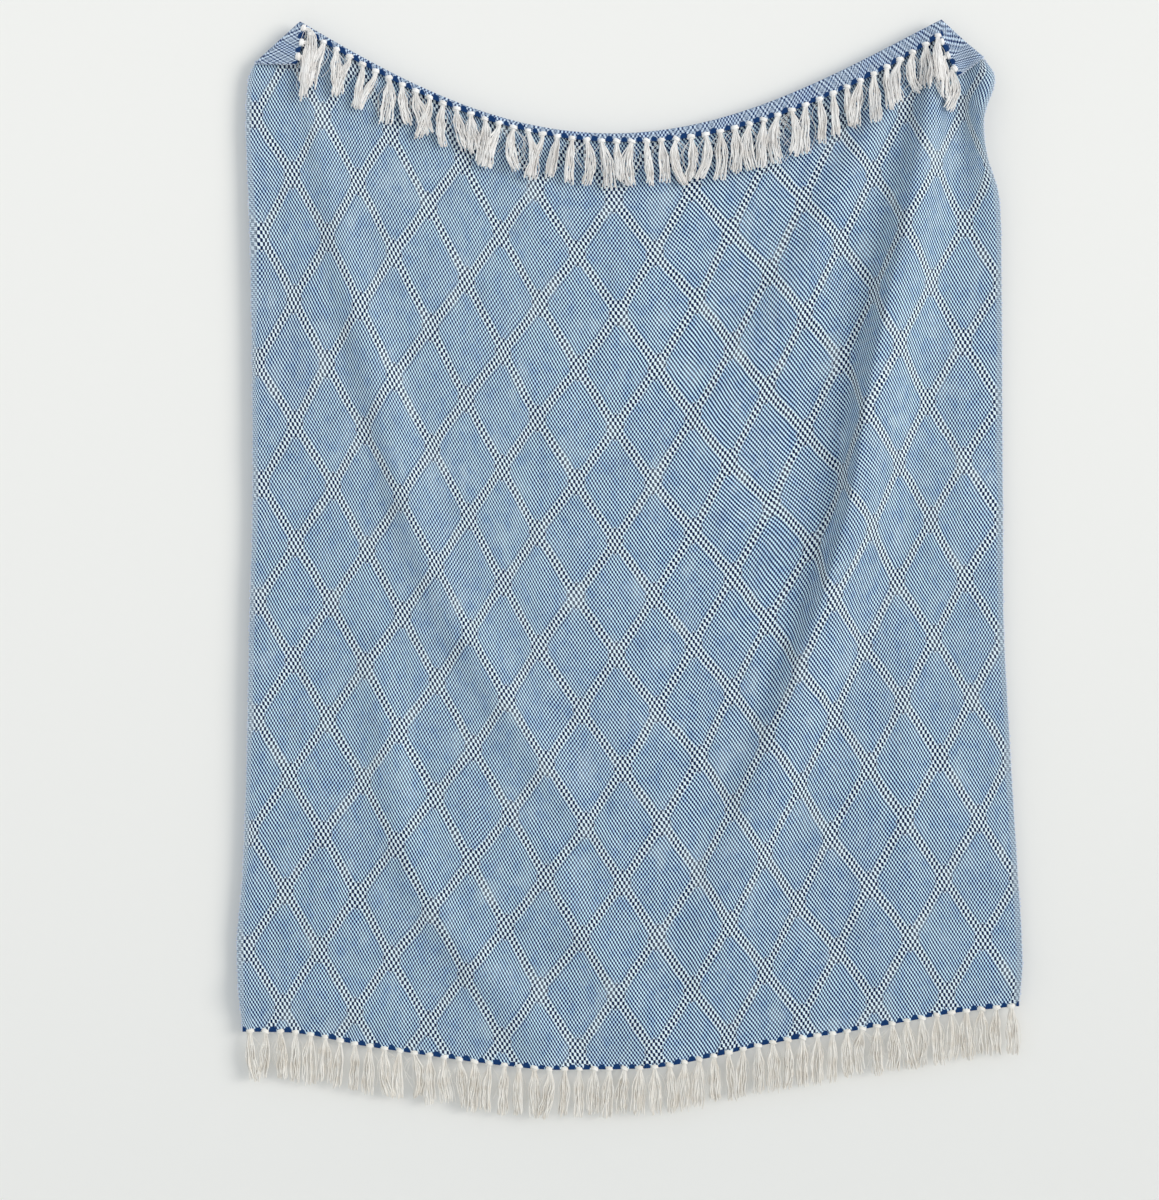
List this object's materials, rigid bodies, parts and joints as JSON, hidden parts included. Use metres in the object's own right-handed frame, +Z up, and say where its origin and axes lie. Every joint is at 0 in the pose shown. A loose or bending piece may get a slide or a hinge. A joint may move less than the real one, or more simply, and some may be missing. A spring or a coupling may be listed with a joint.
{
  "type": "hung fringed throw blanket",
  "caption": "Woven throw with a diamond lattice, hung by two points so that its top edge sags and its corners turn forward, with knotted fringe at both ends.",
  "frame": {"origin": "the left hanging point, at the top of the cloth's turned upper edge", "axes": "+X towards the right hanging point, +Z up, -Y out of the front of the cloth, +Y towards what it hangs against"},
  "size_m": [1.2667, 0.0592, 1.7712],
  "materials": {
    "woven_cloth": "soft matte cotton weave, blue and white",
    "fringe_yarn": "matte undyed cotton yarn"
  },
  "bodies": {
    "root": {"cloth": "woven_cloth", "top_fringe": "fringe_yarn", "bottom_fringe": "fringe_yarn"}
  },
  "joints": []
}
